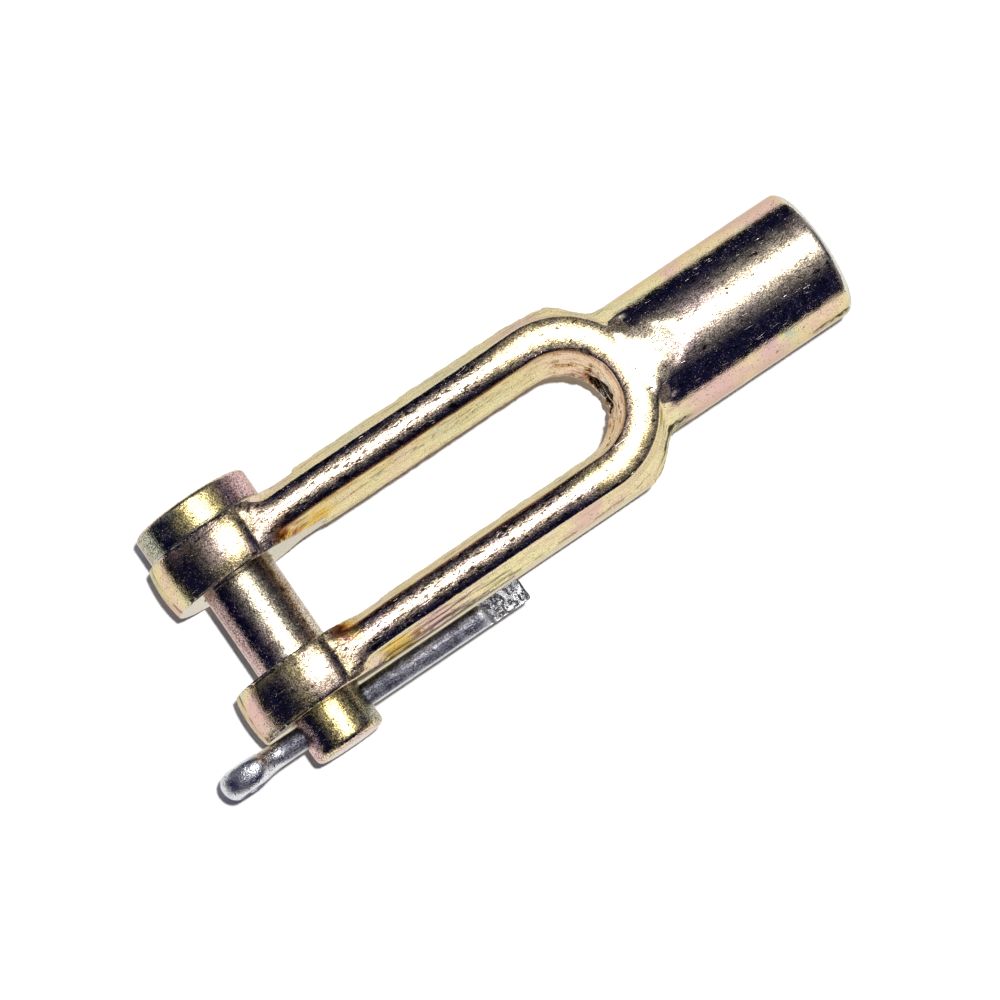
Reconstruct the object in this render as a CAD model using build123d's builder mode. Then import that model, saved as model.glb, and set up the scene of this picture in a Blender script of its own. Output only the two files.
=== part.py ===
"""Clevis rod end: forged clevis, headed clevis pin and split cotter. Millimetres, +Z up.

+X runs from the pin axis along the shank, +Y from the pin's drilled tip towards its head.
The origin is where the pin axis crosses the shank axis."""

import math
import os

from build123d import *

# driving dimensions: clevis
pin_dia = 6.35
pin_running_clearance = 0.05  # radial, pin in the ears
jaw_gap = 7.94
ear_thickness = 4.52
ear_dia = 11.94
pin_to_mouth = 54.3
shank_dia = 11.7
mouth_chamfer = 0.45
trim_stand_out = 0.4  # how far the trim lands stand out past an ear's two faces
arm_outset = 0.11  # how far the arms' middle lies outside the ears' middle
crotch_bottom = 32.78
trim_land = 0.45  # half height of the narrow land left by the trimming die
trim_edge_height = 4.65  # where the sheared wall meets the rounded top
inner_wall_run = 1.07  # how far the wall in the slot leans
outer_wall_run = 1.4
arm_half_height = 5.2
arm_corner = 0.45
nose_start = 36.0  # the forging rises from the yoke to the shank between these
nose_end = 41.5
nose_sink = 0.05  # how far the rise starts below the yoke's top
ear_blend = 0.7
seam_reach = 0.4  # either way along an arm from where its top meets the ear
shoulder_blend = 1.3
hollow_half_height = 1.2
hollow_bite = 0.03  # how far the hollow's edges run into the metal beside it
thread_minor_dia = 4.1
countersink_dia = 5.2

# driving dimensions: milling
spotface_dia = 16.8  # the cutter that faced the ears
facing_depth = 2.0  # more than stands proud of an ear's outer face

# driving dimensions: clevis pin
head_dia = 10.4
head_thickness = 2.7
head_chamfer = 0.3
head_clearance = 0.05
tip_beyond_ear = 3.75
tip_chamfer = 0.4

# driving dimensions: split cotter
cotter_dia = 2.0
cotter_hole_clearance = 0.09  # radial
cotter_ear_clearance = 0.12
leg_gap = 0.08
short_leg_end = 14.8
long_leg_end = 18.7
eye_far_end = -10.8
eye_opening = 2.3
neck_radius = 7.0

# worked out from them
jaw_half = jaw_gap / 2
ear_face = jaw_half + ear_thickness
arm_half = ear_thickness / 2 + trim_stand_out
arm_centre = jaw_half + ear_thickness / 2 + arm_outset
bend_centre = crotch_bottom - arm_centre + arm_half
bend_outside = arm_centre + arm_half
top_inside = inner_wall_run - arm_half
top_outside = arm_half - outer_wall_run
shank_radius = shank_dia / 2
seam_x = math.sqrt((ear_dia / 2) ** 2 - arm_half_height**2)  # where an arm's top meets its ear
cotter_radius = cotter_dia / 2
cotter_y = -(ear_face + cotter_ear_clearance + cotter_radius)
pin_tip = -(ear_face + tip_beyond_ear)
head_seat = ear_face + head_clearance

os.makedirs("parts", exist_ok=True)

# forged clevis: a flattened bar bent to a U, with a round shank and two ears
with BuildPart() as clevis:
    with BuildLine(Plane.XY) as fork_line:
        straight = Line((0, arm_centre), (bend_centre, arm_centre))
        bend = RadiusArc(straight @ 1, (bend_centre, -arm_centre), arm_centre)
        Line(bend @ 1, (0, -arm_centre))
    with BuildSketch(Plane(origin=(0, arm_centre, 0), x_dir=(0, 1, 0), z_dir=(1, 0, 0))) as arm_section:
        with BuildLine():
            top_middle = ((top_inside + top_outside) / 2, arm_half_height)
            Line((arm_half, 0), (arm_half, trim_land))
            Line((arm_half, trim_land), (top_outside, trim_edge_height))
            ThreePointArc((top_outside, trim_edge_height), top_middle, (top_inside, trim_edge_height))
            Line((top_inside, trim_edge_height), (-arm_half, trim_land))
            Line((-arm_half, trim_land), (-arm_half, 0))
            mirror(about=Plane.XZ)
        make_face()
        corners = arm_section.vertices().filter_by(lambda corner: abs(corner.Y) > 2 * trim_land)
        fillet(corners, arm_corner)
    sweep(path=fork_line.line)

    # ears, blended into the tops of the arms
    for side in (-1, 1):
        with BuildSketch(Plane.XZ.offset(-side * jaw_half)):
            Circle(ear_dia / 2)
        extrude(amount=-side * ear_thickness)
    ear_seams = clevis.edges().filter_by_position(Axis.X, seam_x - seam_reach, seam_x + seam_reach)
    tops = ear_seams.filter_by_position(Axis.Z, trim_edge_height, ear_dia)
    undersides = ear_seams.filter_by_position(Axis.Z, -ear_dia, -trim_edge_height)
    fillet(tops + undersides, ear_blend)

    # shank, drawn down to the yoke's thickness where it leaves it
    with BuildPart(mode=Mode.PRIVATE) as shank:
        with BuildSketch(Plane.YZ.offset(crotch_bottom + arm_half)):
            Circle(shank_radius)
        extrude(amount=pin_to_mouth - crotch_bottom - arm_half)
        chamfer(shank.faces().sort_by(Axis.X)[-1].edges(), mouth_chamfer)
        with BuildSketch(Plane.XZ):
            with BuildLine():
                nose_foot = (nose_start, arm_half_height - nose_sink)
                nose_top = (nose_end, shank_radius)
                mouth_top = (pin_to_mouth, shank_radius)
                Line((nose_start, 0), nose_foot)
                Spline(nose_foot, nose_top, tangents=((1, 0), (1, 0)))
                Line(nose_top, mouth_top)
                Line(mouth_top, (pin_to_mouth, 0))
                Line((pin_to_mouth, 0), (nose_start, 0))
            make_face()
            mirror(about=Plane.XZ)
        extrude(amount=shank_dia, both=True, mode=Mode.INTERSECT)
    add(shank.part)

    # the hollow where each shoulder runs into the shank
    with BuildSketch():
        reach = bend_outside + shoulder_blend
        hollow_y = shank_radius + shoulder_blend
        hollow_x = bend_centre + math.sqrt(reach**2 - hollow_y**2)
        share = (bend_outside - hollow_bite) / reach
        start = (bend_centre + (hollow_x - bend_centre) * share, hollow_y * share)
        end = (hollow_x, shank_radius - hollow_bite)
        with BuildLine():
            RadiusArc(start, end, -shoulder_blend)
            Polyline(end, (hollow_x, arm_half), (start[0], arm_half), start)
        make_face()
        mirror(about=Plane.XZ)
    extrude(amount=hollow_half_height, both=True)

    # milled jaw, outer ear face on the head side, and the whole arm on the cotter side
    with BuildSketch(Plane.XZ.offset(-jaw_half)):
        Circle(spotface_dia / 2)
    extrude(amount=jaw_gap, mode=Mode.SUBTRACT)
    with BuildSketch(Plane.XZ.offset(-ear_face)):
        Circle(spotface_dia / 2)
    extrude(amount=-facing_depth, mode=Mode.SUBTRACT)
    with BuildSketch(Plane.XZ.offset(ear_face)):
        Rectangle(2 * (bend_centre + bend_outside), 2 * ear_dia)
    extrude(amount=facing_depth, mode=Mode.SUBTRACT)

    # pin hole and tapping hole, which breaks into the crotch
    with BuildSketch(Plane.XZ):
        Circle(pin_dia / 2 + pin_running_clearance)
    extrude(amount=2 * ear_face, both=True, mode=Mode.SUBTRACT)
    with Locations(Plane(origin=(pin_to_mouth, 0, 0), z_dir=(1, 0, 0))):
        CounterSinkHole(
            thread_minor_dia / 2,
            countersink_dia / 2,
            depth=pin_to_mouth - bend_centre,
            counter_sink_angle=90,
        )
clevis.part.label = "clevis"

# headed clevis pin, cross-drilled for the cotter
with BuildPart() as clevis_pin:
    with BuildSketch(Plane.XY):
        with BuildLine():
            shaft = pin_dia / 2
            head = head_dia / 2
            head_end = head_seat + head_thickness
            Polyline(
                (0, pin_tip),
                (shaft - tip_chamfer, pin_tip),
                (shaft, pin_tip + tip_chamfer),
                (shaft, head_seat),
                (head, head_seat),
                (head, head_end - head_chamfer),
                (head - head_chamfer, head_end),
                (0, head_end),
                close=True,
            )
        make_face()
    revolve(axis=Axis.Y)
    with BuildSketch(Plane.YZ):
        with Locations((cotter_y, 0)):
            Circle(cotter_radius + cotter_hole_clearance)
    extrude(amount=pin_dia, both=True, mode=Mode.SUBTRACT)
clevis_pin.part.label = "clevis_pin"

# split cotter: half-round wire folded to an eye, flat faces together
with BuildPart() as cotter_pin:
    flat = leg_gap / 2
    eye_radius = eye_opening / 2
    eye_x = eye_far_end + eye_radius + cotter_radius
    centres = eye_radius + neck_radius
    neck_x = eye_x + math.sqrt(centres**2 - (flat + neck_radius) ** 2)
    lean = math.asin((neck_x - eye_x) / centres)
    meet = Vector(math.cos(math.pi / 2 - lean), 0, math.sin(math.pi / 2 - lean))
    across = Vector(0, 1, 0)
    eye_centre = Vector(eye_x, cotter_y, 0)
    eye_root = Plane(origin=eye_centre + meet * eye_radius, x_dir=across, z_dir=across.cross(meet))
    with BuildSketch(eye_root):
        Circle(cotter_radius)
        Rectangle(cotter_dia, cotter_dia, align=(Align.CENTER, Align.MAX), mode=Mode.SUBTRACT)
    revolve(axis=Axis(eye_centre, -across), revolution_arc=180 + 2 * math.degrees(lean))
    for side, leg_end in ((1, short_leg_end), (-1, long_leg_end)):
        neck_centre = Vector(neck_x, cotter_y, side * (flat + neck_radius))
        leg_root = Plane(origin=(neck_x, cotter_y, side * flat), x_dir=across * side, z_dir=(1, 0, 0))
        with BuildSketch(leg_root) as leg_section:
            Circle(cotter_radius)
            Rectangle(cotter_dia, cotter_dia, align=(Align.CENTER, Align.MAX), mode=Mode.SUBTRACT)
        revolve(axis=Axis(neck_centre, across * side), revolution_arc=math.degrees(lean))
        extrude(leg_section.sketch, amount=leg_end - neck_x)
cotter_pin.part.label = "cotter_pin"

for piece in (clevis, clevis_pin, cotter_pin):
    export_step(piece.part, f"parts/{piece.part.label}.step")
    print(piece.part.label, piece.part.is_valid, len(piece.solids()), round(piece.part.volume, 1))
    print(piece.part.bounding_box())
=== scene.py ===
import math

import bpy
import numpy as np
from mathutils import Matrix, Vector, noise


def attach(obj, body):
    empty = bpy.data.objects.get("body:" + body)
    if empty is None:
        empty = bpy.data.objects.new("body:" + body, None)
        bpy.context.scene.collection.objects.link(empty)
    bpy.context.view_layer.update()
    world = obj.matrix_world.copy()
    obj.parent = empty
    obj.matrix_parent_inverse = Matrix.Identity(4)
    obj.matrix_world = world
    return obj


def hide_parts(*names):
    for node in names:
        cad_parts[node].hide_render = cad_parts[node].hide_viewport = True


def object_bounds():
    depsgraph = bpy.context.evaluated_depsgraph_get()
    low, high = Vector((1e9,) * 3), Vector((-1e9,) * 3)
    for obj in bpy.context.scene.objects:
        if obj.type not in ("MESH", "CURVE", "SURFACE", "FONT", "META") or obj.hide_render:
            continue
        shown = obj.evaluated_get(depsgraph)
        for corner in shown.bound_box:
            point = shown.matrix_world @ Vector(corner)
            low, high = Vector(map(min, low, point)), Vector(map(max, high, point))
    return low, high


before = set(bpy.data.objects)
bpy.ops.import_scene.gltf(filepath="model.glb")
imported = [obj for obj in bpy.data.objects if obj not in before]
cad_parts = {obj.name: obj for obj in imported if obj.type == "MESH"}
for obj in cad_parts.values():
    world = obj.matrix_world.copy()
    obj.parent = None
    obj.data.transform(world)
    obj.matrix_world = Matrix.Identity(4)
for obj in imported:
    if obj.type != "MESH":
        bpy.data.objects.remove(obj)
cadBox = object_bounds()
mm = 0.001
mergeDistance = 0.0005 * mm
alongShank = (0, 90, 0)  # turns a rod or disc to face along X
print("frame loaded")


# general helpers


def activate(piece):
    if bpy.context.object and bpy.context.object.mode != "OBJECT":
        bpy.ops.object.mode_set(mode="OBJECT")
    bpy.ops.object.select_all(action="DESELECT")
    piece.select_set(True)
    bpy.context.view_layer.objects.active = piece


def openMesh(piece):  # edit mode with everything selected
    activate(piece)
    bpy.ops.object.mode_set(mode="EDIT")
    bpy.ops.mesh.select_all(action="SELECT")


def closeMesh():
    bpy.ops.object.mode_set(mode="OBJECT")


def editMesh(piece, operator, **settings):
    openMesh(piece)
    operator(**settings)
    closeMesh()


def copyNode(node, name):
    piece = bpy.data.objects.new(name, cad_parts[node].data.copy())
    piece.data.materials.clear()
    bpy.context.scene.collection.objects.link(piece)
    editMesh(piece, bpy.ops.mesh.remove_doubles, threshold=mergeDistance)
    return piece


def applyModifier(piece, kind, **settings):
    activate(piece)
    modifier = piece.modifiers.new(kind.lower(), kind)
    for key, value in settings.items():
        setattr(modifier, key, value)
    bpy.ops.object.modifier_apply(modifier=modifier.name)


def cutAway(piece, cutter):
    applyModifier(piece, "BOOLEAN", operation="DIFFERENCE", object=cutter, solver="EXACT")
    bpy.data.objects.remove(cutter)


def addPrimitive(operator, place, turn, **settings):  # place in mm, turn in degrees
    bpy.ops.object.select_all(action="DESELECT")
    operator(location=[a * mm for a in place], rotation=[math.radians(a) for a in turn], **settings)
    piece = bpy.context.object
    activate(piece)
    bpy.ops.object.transform_apply(location=True, rotation=True, scale=True)
    return piece


def addRod(place, radius, length, turn, vertices=64):  # a plain cylinder to cut with
    add = bpy.ops.mesh.primitive_cylinder_add
    return addPrimitive(add, place, turn, vertices=vertices, radius=radius * mm, depth=length * mm)


def addDisc(place, radius, turn, vertices):
    add = bpy.ops.mesh.primitive_circle_add
    return addPrimitive(add, place, turn, vertices=vertices, radius=radius * mm, fill_type="NGON")


def smoothAbove(piece, angle):
    activate(piece)
    bpy.ops.object.shade_smooth_by_angle(angle=math.radians(angle))


def fixNormals(piece):
    openMesh(piece)
    bpy.ops.mesh.remove_doubles(threshold=mergeDistance)
    bpy.ops.mesh.normals_make_consistent()
    closeMesh()


def readPoints(piece):  # places in mm and normals, one row a vertex
    count = len(piece.data.vertices)
    place = np.zeros(count * 3)
    normal = np.zeros(count * 3)
    piece.data.vertices.foreach_get("co", place)
    piece.data.vertices.foreach_get("normal", normal)
    return place.reshape(-1, 3) / mm, normal.reshape(-1, 3)


def movePoints(piece, place):
    piece.data.vertices.foreach_set("co", (place * mm).ravel())
    piece.data.update()


def writeMask(piece, name, values):
    attribute = piece.data.attributes.new(name, "FLOAT", "POINT")
    attribute.data.foreach_set("value", np.clip(values, 0.0, 1.0).astype(np.float32))


def weigh(piece, name, values):
    group = piece.vertex_groups.new(name=name)
    rounded = np.round(np.clip(values, 0.0, 1.0), 1)
    for weight in np.unique(rounded[rounded > 0]):
        group.add(np.flatnonzero(rounded == weight).tolist(), float(weight), "REPLACE")
    return name


def rise(value, low, high):  # 0 below low, 1 above high, smooth between
    share = np.clip((value - low) / (high - low), 0.0, 1.0)
    return share * share * (3 - 2 * share)


def fall(value, low, high):
    return 1 - rise(value, low, high)


def hump(value, middle, reach):
    return np.exp(-(((value - middle) / reach) ** 2))


def wobble(place, size, octaves=3):  # forged unevenness, about -1 to 1, size in mm
    return np.array([noise.fractal(Vector(p), 1.0, 2.0, octaves) for p in place / np.array(size)])


# camera, lamps, backdrop and floor

cameraValues = {
    "place": (-0.037634, -0.041546, 0.392875),
    "turn": (9.4446, -3.8062, -34.6988),
    "lens": 177.12,
}
softboxValues = {
    "direction": (0.12, 0.14, 0.98),
    "stretch": (0.86, 1.0, 0.9),  # below 1 the box is longer that way
    "steps": (  # degrees from the middle, brightness
        (0, 16.0),
        (6, 12.0),
        (10, 6.5),
        (14, 3.0),
        (19, 1.3),
        (25, 0.65),
        (34, 0.33),
        (43, 0.14),
        (51, 0.04),
        (59, 0.0),
    ),
    "forFloor": 0.14,  # share of it that lights what isn't metal, so that shadows stay crisp
    "room": (0.010, 0.012, 0.060),
    "endCard": 0.7,  # low white card beyond the shank's mouth
    "endCardEdge": (0.8, 0.93),
    "cornerCards": 0.22,  # dim cards in the room's four corners
    "cornerEdge": (0.26, 0.44),
    "cardTop": (0.1, 0.24),
    "cardColour": (1.0, 0.93, 0.80),
    "backdrop": (1.0, 1.0, 1.0),
}
shadowLampValues = {
    "aim": (0.022, 0.0, 0.0),
    "direction": (-0.040, -0.062, 1.0),
    "distance": 0.6,
    "size": 0.022,
    "power": 3.7,
}
floorValues = {
    "height": -5.98 * mm,
    "size": 3.0,
    "colour": (0.95, 0.95, 0.95),
    "glow": 1.08,
    "farGlow": 0.012,
    "glowCentre": (0.053, -0.023, 0.0),
    "glowReach": (0.108, 0.075),
    "glowEdge": (0.92, 1.02),
}


def newMaterial(name):
    material = bpy.data.materials.new(name)
    material.use_nodes = True
    material.node_tree.nodes.clear()
    return material, material.node_tree


def newNode(tree, kind, **settings):
    node = tree.nodes.new(kind)
    for key, value in settings.items():
        setattr(node, key, value)
    return node


def feed(tree, socket, value):  # a link from another node's output, or a plain value
    if isinstance(value, bpy.types.NodeSocket):
        tree.links.new(value, socket)
    elif isinstance(value, tuple) and len(value) == 3 and socket.type == "RGBA":
        socket.default_value = (*value, 1.0)
    else:
        socket.default_value = value


def addMath(tree, operation, first, second=0.5, clamp=False):
    node = newNode(tree, "ShaderNodeMath", operation=operation, use_clamp=clamp)
    feed(tree, node.inputs[0], first)
    feed(tree, node.inputs[1], second)
    return node.outputs[0]


def multiply(tree, first, second, clamp=False):
    return addMath(tree, "MULTIPLY", first, second, clamp)


def plus(tree, first, second):
    return addMath(tree, "ADD", first, second)


def minus(tree, first, second):
    return addMath(tree, "SUBTRACT", first, second)


def addLength(tree, vector):
    node = newNode(tree, "ShaderNodeVectorMath", operation="LENGTH")
    feed(tree, node.inputs[0], vector)
    return node.outputs["Value"]


def addRadius(tree, first, second):  # how far from an axis, given the two coordinates across it
    squares = [addMath(tree, "POWER", side, 2.0) for side in (first, second)]
    return addMath(tree, "SQRT", plus(tree, *squares))


def addRange(tree, value, low, high, newLow=0.0, newHigh=1.0):
    node = newNode(tree, "ShaderNodeMapRange", interpolation_type="SMOOTHSTEP")
    for socket, given in zip(node.inputs, (value, low, high, newLow, newHigh)):
        feed(tree, socket, given)
    return node.outputs[0]


def blend(tree, share, atNone, atFull):
    return addRange(tree, share, 0.0, 1.0, atNone, atFull)


def addNoise(tree, vector, scale, detail=2.0, distortion=0.0):
    node = newNode(tree, "ShaderNodeTexNoise")
    given = {"Vector": vector, "Scale": scale, "Detail": detail, "Distortion": distortion}
    for name, value in given.items():
        feed(tree, node.inputs[name], value)
    return node.outputs["Fac"]


def maximum(tree, first, second):
    return addMath(tree, "MAXIMUM", first, second)


def addMapping(tree, vector, scale=(1, 1, 1), turn=(0, 0, 0), shift=(0, 0, 0)):
    node = newNode(tree, "ShaderNodeMapping")
    feed(tree, node.inputs["Vector"], vector)
    node.inputs["Location"].default_value = shift
    node.inputs["Rotation"].default_value = [math.radians(a) for a in turn]
    node.inputs["Scale"].default_value = scale
    return node.outputs["Vector"]


def addMix(tree, share, first, second, blend="MIX"):
    node = newNode(tree, "ShaderNodeMix", data_type="RGBA", blend_type=blend)
    feed(tree, node.inputs["Factor"], share)
    feed(tree, node.inputs[6], first)
    feed(tree, node.inputs[7], second)
    return node.outputs[2]


def addColours(tree, value, stops):
    node = newNode(tree, "ShaderNodeValToRGB")
    points = node.color_ramp.elements
    while len(points) < len(stops):
        points.new(0.5)
    for point, (position, colour) in zip(points, stops):
        point.position = position
        point.color = (*colour, 1.0)
    feed(tree, node.inputs["Fac"], value)
    return node.outputs["Color"]


def newSplit(tree, vector):
    node = newNode(tree, "ShaderNodeSeparateXYZ")
    feed(tree, node.inputs[0], vector)
    return list(node.outputs)


def readMask(tree, name):
    return newNode(tree, "ShaderNodeAttribute", attribute_name=name).outputs["Fac"]


def buildCamera(values):
    camera = bpy.data.cameras.new("camera")
    camera.lens = values["lens"]
    camera.sensor_width = 36.0
    camera.clip_start = 0.01
    camera.clip_end = 10.0
    holder = bpy.data.objects.new("camera", camera)
    holder.location = values["place"]
    holder.rotation_euler = [math.radians(a) for a in values["turn"]]
    bpy.context.scene.collection.objects.link(holder)
    bpy.context.scene.camera = holder


def buildShadowLamp(values):  # lights the floor; the metal's own light is the softbox in the world
    lamp = bpy.data.lights.new("shadowLamp", "AREA")
    lamp.shape = "DISK"
    lamp.size = values["size"]
    lamp.energy = values["power"]
    holder = bpy.data.objects.new("shadowLamp", lamp)
    direction = Vector(values["direction"]).normalized()
    holder.location = Vector(values["aim"]) + direction * values["distance"]
    holder.rotation_euler = direction.to_track_quat("Z", "Y").to_euler()
    holder.visible_glossy = False
    bpy.context.scene.collection.objects.link(holder)


def addBackground(tree, colour, strength=1.0):
    node = newNode(tree, "ShaderNodeBackground")
    feed(tree, node.inputs["Color"], colour)
    feed(tree, node.inputs["Strength"], strength)
    return node.outputs[0]


def addShaders(tree, first, second):
    node = newNode(tree, "ShaderNodeAddShader")
    tree.links.new(first, node.inputs[0])
    tree.links.new(second, node.inputs[1])
    return node.outputs[0]


def mixShaders(tree, share, first, second, outputKind):  # and send the mix to the output
    mix = newNode(tree, "ShaderNodeMixShader")
    for socket, given in zip(mix.inputs, (share, first, second)):
        tree.links.new(given, socket)
    tree.links.new(mix.outputs[0], newNode(tree, outputKind).inputs["Surface"])


def buildWorld(values):  # a round soft lamp in a dark room, white where the camera sees it
    world = bpy.data.worlds.new("studio")
    bpy.context.scene.world = world
    world.use_nodes = True
    tree = world.node_tree
    tree.nodes.clear()
    ray = newNode(tree, "ShaderNodeTexCoord").outputs["Generated"]
    aim = Vector(values["direction"]).normalized()
    stretch = values["stretch"]
    fromAim = addMapping(tree, ray, scale=stretch, shift=[-a * b for a, b in zip(aim, stretch)])
    length = addLength(tree, fromAim)
    half = addMath(tree, "ARCSINE", multiply(tree, length, 0.5, True))
    angle = addMath(tree, "DIVIDE", half, math.pi / 2)
    steps = values["steps"]
    peak = steps[0][1]
    glow = addColours(tree, angle, [(a / 180, (b / peak,) * 3) for a, b in steps])
    path = newNode(tree, "ShaderNodeLightPath")
    share = blend(tree, path.outputs["Is Glossy Ray"], values["forFloor"], 1.0)
    lamp = addBackground(tree, glow, multiply(tree, share, peak))
    room = addBackground(tree, values["room"])
    rayX, rayY, rayZ = newSplit(tree, ray)
    low = addRange(tree, rayZ, *values["cardTop"], 1.0, 0.0)
    endCard = addRange(tree, rayX, *values["endCardEdge"], 0.0, values["endCard"])
    diagonal = addMath(tree, "ABSOLUTE", multiply(tree, rayX, rayY))
    corners = addRange(tree, diagonal, *values["cornerEdge"], 0.0, values["cornerCards"])
    bright = plus(tree, multiply(tree, endCard, low), corners)
    cards = addBackground(tree, values["cardColour"], multiply(tree, bright, share))
    allLight = addShaders(tree, addShaders(tree, lamp, room), cards)
    pale = addBackground(tree, values["backdrop"])
    mixShaders(tree, path.outputs["Is Camera Ray"], allLight, pale, "ShaderNodeOutputWorld")


def buildFloor(values):
    bpy.ops.object.select_all(action="DESELECT")
    bpy.ops.mesh.primitive_plane_add(size=values["size"], location=(0, 0, values["height"]))
    floor = bpy.context.object
    floor.name = "floor"
    material, tree = newMaterial("whitePaper")
    paper = newNode(tree, "ShaderNodeBsdfDiffuse")
    feed(tree, paper.inputs["Color"], values["colour"])
    spot = newNode(tree, "ShaderNodeTexCoord").outputs["Object"]
    reach = [1 / a for a in values["glowReach"]]
    centre = [-c * r for c, r in zip(values["glowCentre"], reach)]
    scaled = addMapping(tree, spot, scale=(*reach, 0), shift=(*centre, 0))
    length = addLength(tree, scaled)
    near = addRange(tree, length, *values["glowEdge"], values["glow"], values["farGlow"])
    glow = newNode(tree, "ShaderNodeEmission")
    feed(tree, glow.inputs["Strength"], near)
    path = newNode(tree, "ShaderNodeLightPath").outputs["Is Glossy Ray"]
    mixShaders(tree, path, paper.outputs[0], glow.outputs[0], "ShaderNodeOutputMaterial")
    floor.data.materials.append(material)


bpy.context.scene.view_settings.view_transform = "Standard"
buildCamera(cameraValues)
buildShadowLamp(shadowLampValues)
buildWorld(softboxValues)
buildFloor(floorValues)
print("camera, lamps, backdrop and floor ready")


# effects that several finishes share


def newGroup(name, inputs, outputs):
    group = bpy.data.node_groups.new(name, "ShaderNodeTree")
    addSocket = group.interface.new_socket
    for label, kind, value in inputs:
        socket = addSocket(name=label, in_out="INPUT", socket_type="NodeSocket" + kind)
        if value is not None:
            socket.default_value = value
    for label, kind in outputs:
        addSocket(name=label, in_out="OUTPUT", socket_type="NodeSocket" + kind)
    return group, newNode(group, "NodeGroupInput").outputs, newNode(group, "NodeGroupOutput").inputs


def useGroup(tree, group, **values):
    node = newNode(tree, "ShaderNodeGroup", node_tree=group)
    for key, value in values.items():
        feed(tree, node.inputs[key], value)
    return node.outputs


def startFinish(name, values):
    material, tree = newMaterial(name)
    place = newNode(tree, "ShaderNodeTexCoord").outputs["Object"]
    fineness, pits = values["fineness"], values["pits"]
    grain = useGroup(tree, grainGroup, Position=place, Fineness=fineness, Pits=pits)
    return material, tree, place, grain, useGroup(tree, wearGroup)


def layOver(tree, colour, layers):  # each layer is a mask, its strength and its colour
    for mask, strength, over in layers:
        colour = addMix(tree, multiply(tree, mask, strength, True), colour, over)
    return colour


def addMetal(tree, piece, material, colour, rough, height, values):
    bump = newNode(tree, "ShaderNodeBump")
    bump.inputs["Distance"].default_value = values["bump"]
    feed(tree, bump.inputs["Height"], height)
    shader = newNode(tree, "ShaderNodeBsdfPrincipled")
    shader.inputs["Metallic"].default_value = 1.0
    shader.inputs["Specular Tint"].default_value = (*values["edge"], 1.0)
    feed(tree, shader.inputs["Base Color"], colour)
    feed(tree, shader.inputs["Roughness"], rough)
    feed(tree, shader.inputs["Normal"], bump.outputs["Normal"])
    output = newNode(tree, "ShaderNodeOutputMaterial")
    tree.links.new(shader.outputs[0], output.inputs["Surface"])
    piece.data.materials.append(material)


def buildGrain():  # etched, plated steel: a fine grain in clusters, with pits
    group, given, result = newGroup(
        "etchedGrain",
        [("Position", "Vector", None), ("Fineness", "Float", 3600.0), ("Pits", "Float", 0.5)],
        [("Height", "Float"), ("Speckle", "Float"), ("Pit", "Float")],
    )
    scaled = newNode(group, "ShaderNodeVectorMath", operation="SCALE")
    feed(group, scaled.inputs[0], given["Position"])
    feed(group, scaled.inputs["Scale"], given["Fineness"])
    place = scaled.outputs[0]
    coarse = addNoise(group, place, 1.0, 2.0)
    fine = addNoise(group, place, 1.9, 1.0)
    spots = addNoise(group, addMapping(group, place, shift=(7, 3, 5)), 0.85, 1.0)
    clusters = addNoise(group, place, 0.16, 2.0)
    pitted = plus(group, spots, multiply(group, clusters, 0.25))
    pit = addRange(group, pitted, 0.79, 0.84)
    pit = multiply(group, pit, given["Pits"])
    height = plus(group, coarse, multiply(group, fine, 0.5))
    height = multiply(group, height, addRange(group, clusters, 0.35, 0.62, 0.7, 1.2))
    feed(group, result["Height"], minus(group, height, multiply(group, pit, 0.9)))
    mixed = plus(group, coarse, multiply(group, clusters, 0.3))
    feed(group, result["Speckle"], addRange(group, mixed, 0.54, 0.76))
    feed(group, result["Pit"], pit)
    return group


def buildScratches():  # short hair scratches in three directions
    group, given, result = newGroup(
        "hairScratches",
        [("Position", "Vector", None), ("Amount", "Float", 1.0)],
        [("Mask", "Float")],
    )
    total = None
    for angle, seed in ((17, 3.0), (74, 8.0), (128, 5.0)):
        turn, shift = (0, 0, angle), (seed, seed, 0)
        place = addMapping(group, given["Position"], (90, 900, 250), turn, shift)
        line = addNoise(group, place, 1.0, 2.0, 0.6)
        fromLine = addMath(group, "ABSOLUTE", minus(group, line, 0.5))
        thin = addRange(group, fromLine, 0.0, 0.008, 1.0, 0.0)
        moved = addMapping(group, given["Position"], shift=(seed, 0, seed))
        where = addNoise(group, moved, 700.0, 1.0)
        part = multiply(group, thin, addRange(group, where, 0.64, 0.7))
        total = part if total is None else maximum(group, total, part)
    feed(group, result["Mask"], multiply(group, total, given["Amount"]))
    return group


def buildPlating():  # yellow passivated zinc, its thin film from green and straw to rose and lilac
    group, given, result = newGroup(
        "passivatedTint",
        [("Position", "Vector", None), ("Rose", "Float", 0.0), ("Strength", "Float", 1.0)],
        [("Color", "Color")],
    )
    drift = addNoise(group, given["Position"], 210.0, 3.0, 0.6)
    shade = plus(group, drift, multiply(group, given["Rose"], 0.2))
    film = addColours(
        group,
        shade,
        [
            (0.30, (0.50, 0.52, 0.41)),
            (0.42, (0.76, 0.68, 0.38)),
            (0.52, (0.79, 0.62, 0.39)),
            (0.62, (0.75, 0.51, 0.44)),
            (0.72, (0.66, 0.47, 0.50)),
            (0.86, (0.60, 0.52, 0.60)),
        ],
    )
    straw = (0.70, 0.56, 0.34)
    feed(group, result["Color"], addMix(group, given["Strength"], straw, film))
    return group


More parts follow.
